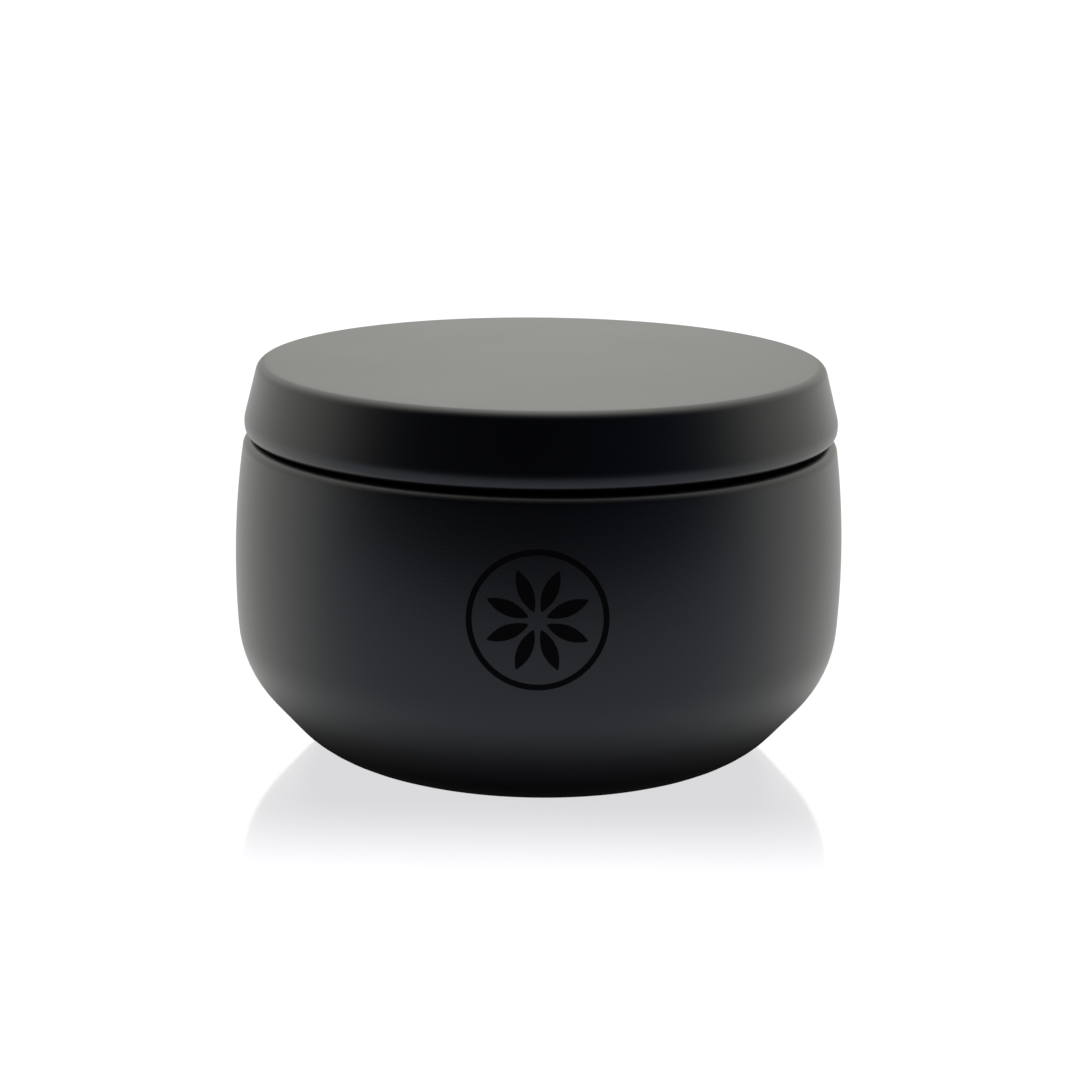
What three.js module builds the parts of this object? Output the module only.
// A round-bellied candle tin with its slip-on lid and the poured candle that it holds.
//
// Millimetres, +Z up. The origin is on the tin's axis, on the surface that the tin stands on, and the
// front faces -Y. Every piece is turned about that axis, so each one is an outline of (radius, height)
// points put through a lathe.
// Pieces that touch on the real object are kept FIT_GAP apart, so that no two solids share a face.

import * as THREE from "three";

// Sheet metal
const SHEET = 0.4; // thickness of the tinplate in the tin and in the lid
const FIT_GAP = 0.3; // between pieces that touch

// Tin, from the middle of its base up to its mouth
const PANEL_RADIUS = 20.5; // flat panel in the middle of the base
const PANEL_RISE = 1; // how far that panel stands off the table
const STEP_BEND = 1.2; // bends between the panel and the foot
const STEP_ANGLE = 50;
const BELLY_RADIUS = 45; // the tin's widest
const FOOT_BEND = 14.7; // from the flat foot up to the sloping wall
const WALL_SLOPE = 48.3; // degrees above the table
const SLOPE_LENGTH = 5.7;
const CORNER_BEND = 16.5; // from the slope up to the side
const SIDE_START = 85.8; // degrees above the table where the long side bend takes over
const SIDE_BEND = 127;
const SHOULDER_HEIGHT = 47.2; // the ledge under the lid
const SHOULDER_BEND = 1.6;
const NECK_RADIUS = 39.2; // outside of the upright neck
const NECK_BEND = 0.5;
const RIM_CURL = 0.9; // outer radius of the bead rolled outwards round the mouth
const RIM_TURN = 270; // degrees that the bead is rolled through

// Lid
const LID_TOP = 58.2;
const LID_FLAT_RADIUS = 40.4; // flat part of its top
const LID_BEND = 1.5;
const SKIRT_TAPER = 14.2; // degrees that the skirt leans out as it goes down
const SKIRT_LENGTH = 6.75;
const EDGE_BEND = 4; // the skirt's lower edge, first turned in by a wide bend
const EDGE_TURN = 27.2; // degrees of that bend
const HEM_BEND = 1.25; // and then rolled in and up by a tight one
const HEM_TURN = 212;

// Candle
const WAX_HEIGHT = 48.5;
const WICK_RADIUS = 1.25;
const WICK_TOP = 55;
const TAB_RADIUS = 10; // wick sustainer's disc, and the adhesive disc under it
const TAB_THICKNESS = 0.4;
const TUBE_RADIUS = 2; // wick sustainer's crimped tube
const TUBE_LENGTH = 6;
const STICKER_THICKNESS = 0.8;

// Rounding
const TURNED_SIDES = 40;
const SMALL_SIDES = 20;
const WICK_SIDES = 10;
const BEND_STEP = 20; // most degrees of a bend between two points
const CURL_STEP = 54; // the same on the small rolled edges
const SIDE_STEP = 3; // and on the long side bend

const radians = THREE.MathUtils.degToRad;
const cosine = (degrees) => Math.cos(radians(degrees));
const sine = (degrees) => Math.sin(radians(degrees));

// An outline that is walked like a path: straight on, or round a bend that starts in the direction
// already faced. Heading 0 goes outwards from the axis and 90 goes up. Each point keeps its heading,
// so the path can be offset.
class Path {
  constructor(radius, height, heading) {
    this.points = [{ radius, height, heading }];
  }
  get end() {
    return this.points[this.points.length - 1];
  }
  forward(length) {
    const { radius, height, heading } = this.end;
    this.points.push({
      radius: radius + length * cosine(heading),
      height: height + length * sine(heading),
      heading,
    });
    return this;
  }
  // Positive angles bend to the left.
  bend(bendRadius, angle, step = BEND_STEP) {
    const { radius, height, heading } = this.end;
    const side = Math.sign(angle) * bendRadius;
    const steps = Math.ceil(Math.abs(angle) / step);
    for (let i = 1; i <= steps; i++) {
      const turned = heading + (angle * i) / steps;
      this.points.push({
        radius: radius + side * (sine(turned) - sine(heading)),
        height: height - side * (cosine(turned) - cosine(heading)),
        heading: turned,
      });
    }
    return this;
  }
  // The same path, moved to its left by a distance. A point on the axis stays on it.
  offset(distance) {
    return this.points.map(({ radius, height, heading }) => ({
      radius: radius === 0 ? 0 : radius - distance * sine(heading),
      height: height + distance * cosine(heading),
    }));
  }
}

// Turns a closed outline about the axis. It runs anticlockwise with the axis on its left: up the
// outside, down the inside.
function turnedPiece(name, outline, colour, finish, sides = TURNED_SIDES) {
  const profile = outline.map(({ radius, height }) => new THREE.Vector2(radius, height));
  const closesOnAxis = profile[0].x === 0 && profile[profile.length - 1].x === 0;
  if (!closesOnAxis) profile.push(profile[0].clone());
  const geometry = new THREE.LatheGeometry(profile, sides);
  geometry.rotateX(Math.PI / 2); // a lathe turns about Y
  const material = new THREE.MeshStandardMaterial({ color: colour, ...finish });
  const mesh = new THREE.Mesh(geometry, material);
  mesh.name = name;
  return mesh;
}

const point = (radius, height) => ({ radius, height });

// The tin's outside from the middle of its base to the point where the neck stands upright.
function tinWall() {
  const footRadius =
    BELLY_RADIUS -
    FOOT_BEND * sine(WALL_SLOPE) -
    SLOPE_LENGTH * cosine(WALL_SLOPE) -
    CORNER_BEND * (sine(SIDE_START) - sine(WALL_SLOPE)) -
    SIDE_BEND * (1 - sine(SIDE_START));
  const stepDrop = 2 * STEP_BEND * (1 - cosine(STEP_ANGLE));
  const path = new Path(0, PANEL_RISE, 0)
    .forward(PANEL_RADIUS)
    .bend(STEP_BEND, -STEP_ANGLE)
    .forward((PANEL_RISE - stepDrop) / sine(STEP_ANGLE))
    .bend(STEP_BEND, STEP_ANGLE);
  path
    .forward(footRadius - path.end.radius)
    .bend(FOOT_BEND, WALL_SLOPE)
    .forward(SLOPE_LENGTH)
    .bend(CORNER_BEND, SIDE_START - WALL_SLOPE);
  path.bend(SIDE_BEND, 90 - SIDE_START, SIDE_STEP);
  // Above its widest the side leans in, just so far that the shoulder's own bend ends on the ledge.
  const rise = SHOULDER_HEIGHT - SHOULDER_BEND - path.end.height;
  const lean = THREE.MathUtils.radToDeg(Math.asin(rise / (SIDE_BEND - SHOULDER_BEND)));
  path.bend(SIDE_BEND, lean, SIDE_STEP).bend(SHOULDER_BEND, 90 - lean, CURL_STEP);
  return path
    .forward(path.end.radius - NECK_RADIUS - NECK_BEND)
    .bend(NECK_BEND, -90, CURL_STEP);
}

// One drawn shell, with a bead rolled outwards round its mouth.
function tinBody() {
  const wall = tinWall();
  const beadMiddle = LID_TOP - SHEET - FIT_GAP - RIM_CURL;
  wall
    .forward(beadMiddle - wall.end.height)
    .bend(RIM_CURL - SHEET, -RIM_TURN, CURL_STEP);
  const outline = [...wall.offset(0), ...wall.offset(SHEET).reverse()];
  return turnedPiece("tin_body", outline, 0x17181b, { roughness: 0.5, metalness: 0 });
}

// One drawn shell: flat top, leaning skirt, and an edge rolled inwards that hangs free just above the
// shoulder.
function lid() {
  const skirt = new Path(0, LID_TOP, 0)
    .forward(LID_FLAT_RADIUS)
    .bend(LID_BEND, SKIRT_TAPER - 90)
    .forward(SKIRT_LENGTH)
    .bend(EDGE_BEND, -EDGE_TURN)
    .bend(HEM_BEND, -HEM_TURN, CURL_STEP);
  const outline = [...skirt.offset(-SHEET), ...skirt.offset(0).reverse()];
  return turnedPiece("lid", outline, 0x17181b, { roughness: 0.5, metalness: 0 });
}

const stickerBase = PANEL_RISE + SHEET + FIT_GAP;
const tabBase = stickerBase + STICKER_THICKNESS + FIT_GAP;
const tubeTop = tabBase + TAB_THICKNESS + TUBE_LENGTH;
const boreRadius = WICK_RADIUS + FIT_GAP;

// Adhesive disc that holds the sustainer to the base.
function wickSticker() {
  const outline = [
    point(0, stickerBase),
    point(TAB_RADIUS, stickerBase),
    point(TAB_RADIUS, stickerBase + STICKER_THICKNESS),
    point(0, stickerBase + STICKER_THICKNESS),
  ];
  return turnedPiece("wick_sticker", outline, 0xf2f0ea, { roughness: 0.8 }, SMALL_SIDES);
}

// Pressed disc with an upright tube that is crimped on the wick.
function wickSustainer() {
  const tabTop = tabBase + TAB_THICKNESS;
  const tubeBend = 0.6;
  const outline = [
    point(boreRadius, tabBase),
    point(TAB_RADIUS, tabBase),
    point(TAB_RADIUS, tabTop),
    ...new Path(TUBE_RADIUS + tubeBend, tabTop, 180).bend(tubeBend, -90, CURL_STEP).points,
    point(TUBE_RADIUS, tubeTop),
    point(boreRadius, tubeTop),
  ];
  return turnedPiece("wick_sustainer", outline, 0xb9bcc0, { roughness: 0.35, metalness: 1 }, SMALL_SIDES);
}

// Straight wick, held by the sustainer's tube and by the wax, and trimmed short above it.
function wick() {
  const outline = [
    point(0, tabBase),
    point(WICK_RADIUS, tabBase),
    point(WICK_RADIUS, WICK_TOP),
    point(0, WICK_TOP),
  ];
  return turnedPiece("wick", outline, 0xefe8d8, { roughness: 0.9 }, WICK_SIDES);
}

// Wax cast in the tin up into its neck, with the hollow that the sustainer, its sticker and the wick
// leave in it.
function waxFill() {
  const wall = tinWall();
  wall.forward(WAX_HEIGHT - wall.end.height);
  const cast = wall.offset(SHEET + FIT_GAP).slice(1);
  const hollowRadius = TAB_RADIUS + FIT_GAP;
  const tabHollowTop = tabBase + TAB_THICKNESS + FIT_GAP;
  const tubeHollowRadius = TUBE_RADIUS + FIT_GAP;
  const outline = [
    point(hollowRadius, cast[0].height),
    ...cast,
    point(boreRadius, WAX_HEIGHT),
    point(boreRadius, tubeTop + FIT_GAP),
    point(tubeHollowRadius, tubeTop + FIT_GAP),
    point(tubeHollowRadius, tabHollowTop),
    point(hollowRadius, tabHollowTop),
  ];
  return turnedPiece("wax_fill", outline, 0xf3ecdc, { roughness: 0.55 });
}

const candleTin = new THREE.Group();
candleTin.add(tinBody(), lid(), waxFill(), wick(), wickSustainer(), wickSticker());

export default candleTin;
